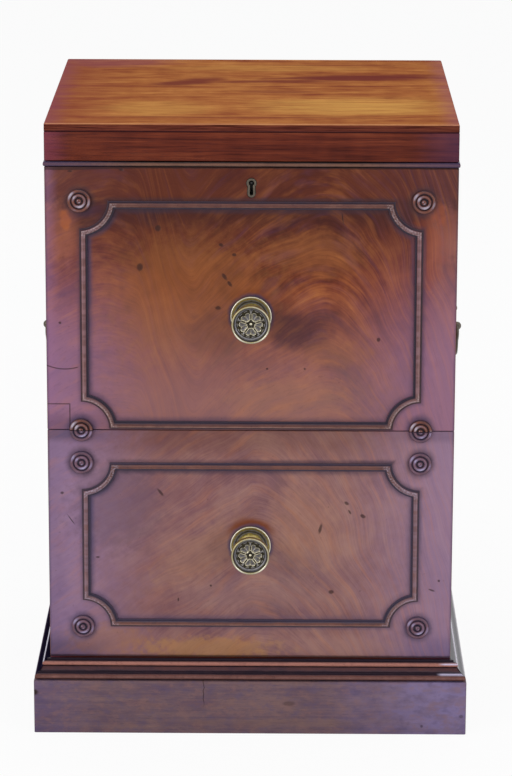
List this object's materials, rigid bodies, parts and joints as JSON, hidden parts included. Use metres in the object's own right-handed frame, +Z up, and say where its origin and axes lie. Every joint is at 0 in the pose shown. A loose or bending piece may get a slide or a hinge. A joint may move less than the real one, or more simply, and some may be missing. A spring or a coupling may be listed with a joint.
{
  "type": "cellarette",
  "caption": "Low square wooden cellarette with hinged lid over a divided bottle compartment, a deep drawer, moulded panels, turned roundels, brass knobs and side bail handles.",
  "frame": {"origin": "middle of the outer box, on the floor", "axes": "+X to the object's right as seen from the front, +Y to its back, +Z up"},
  "size_m": [0.493, 0.4572, 0.7066],
  "materials": {
    "front_mahogany": "old waxed mahogany, red-brown with flame figure",
    "case_mahogany": "old waxed mahogany, dark red-brown",
    "lid_mahogany": "polished mahogany, golden orange-brown",
    "plinth_mahogany": "worn dark mahogany with a greyish bloom",
    "secondary_wood": "unpolished secondary timber",
    "brass": "aged brass with dark recesses",
    "sheet_metal": "dull grey sheet metal lining"
  },
  "bodies": {
    "case": {"upper_front": "front_mahogany", "case_side_left": "case_mahogany", "case_side_right": "case_mahogany", "back_panel": "secondary_wood", "bottom_rail": "case_mahogany", "carcass_bottom": "secondary_wood", "compartment_floor": "secondary_wood", "plinth_front": "plinth_mahogany", "plinth_left": "plinth_mahogany", "plinth_right": "plinth_mahogany", "plinth_back": "plinth_mahogany", "base_moulding_front": "case_mahogany", "base_moulding_left": "case_mahogany", "base_moulding_right": "case_mahogany", "upper_panel_moulding": "front_mahogany", "roundel_top_left": "front_mahogany", "roundel_top_right": "front_mahogany", "roundel_joint_upper_left": "front_mahogany", "roundel_joint_upper_right": "front_mahogany", "knob_upper": "brass", "escutcheon": "brass", "lock_case": "brass", "compartment_lining": "sheet_metal", "divider_long_1": "secondary_wood", "divider_long_2": "secondary_wood", "divider_cross_1": "secondary_wood", "divider_cross_2": "secondary_wood", "hinge_case_leaf_left": "brass", "hinge_case_leaf_right": "brass", "handle_post_left_front": "brass", "handle_post_left_back": "brass", "handle_post_right_front": "brass", "handle_post_right_back": "brass"},
    "lid": {"lid_board": "lid_mahogany", "lid_rail_front": "front_mahogany", "lid_rail_back": "case_mahogany", "lid_rail_left": "case_mahogany", "lid_rail_right": "case_mahogany", "lid_bead": "front_mahogany", "staple_plate": "brass", "hinge_lid_leaf_left": "brass", "hinge_lid_leaf_right": "brass"},
    "drawer": {"drawer_front": "front_mahogany", "drawer_side_left": "secondary_wood", "drawer_side_right": "secondary_wood", "drawer_back": "secondary_wood", "drawer_bottom": "secondary_wood", "lower_panel_moulding": "front_mahogany", "roundel_joint_lower_left": "front_mahogany", "roundel_joint_lower_right": "front_mahogany", "roundel_high_left": "front_mahogany", "roundel_high_right": "front_mahogany", "roundel_low_left": "front_mahogany", "roundel_low_right": "front_mahogany", "knob_lower": "brass"},
    "lock_bolt": {"lock_bolt": "brass"},
    "bail_left": {"handle_bail_left": "brass"},
    "bail_right": {"handle_bail_right": "brass"}
  },
  "joints": [
    {"name": "lid_hinge", "type": "hinge", "parent": "case", "child": "lid", "pos_m": [0, 0.22535, 0.65785], "axis": [-1, 0, 0], "range_deg": [0, 95]},
    {"name": "drawer_slide", "type": "slide", "parent": "case", "child": "drawer", "axis": [0, -1, 0], "range_m": [0, 0.29]},
    {"name": "lock_bolt_slide", "type": "slide", "parent": "case", "child": "lock_bolt", "axis": [-1, 0, 0], "range_m": [0, 0.006]},
    {"name": "bail_left_swing", "type": "hinge", "parent": "case", "child": "bail_left", "pos_m": [-0.2388, 0.01675, 0.436], "axis": [0, 1, 0], "range_deg": [-10, 190]},
    {"name": "bail_right_swing", "type": "hinge", "parent": "case", "child": "bail_right", "pos_m": [0.2388, 0.01675, 0.436], "axis": [0, -1, 0], "range_deg": [-10, 190]}
  ]
}
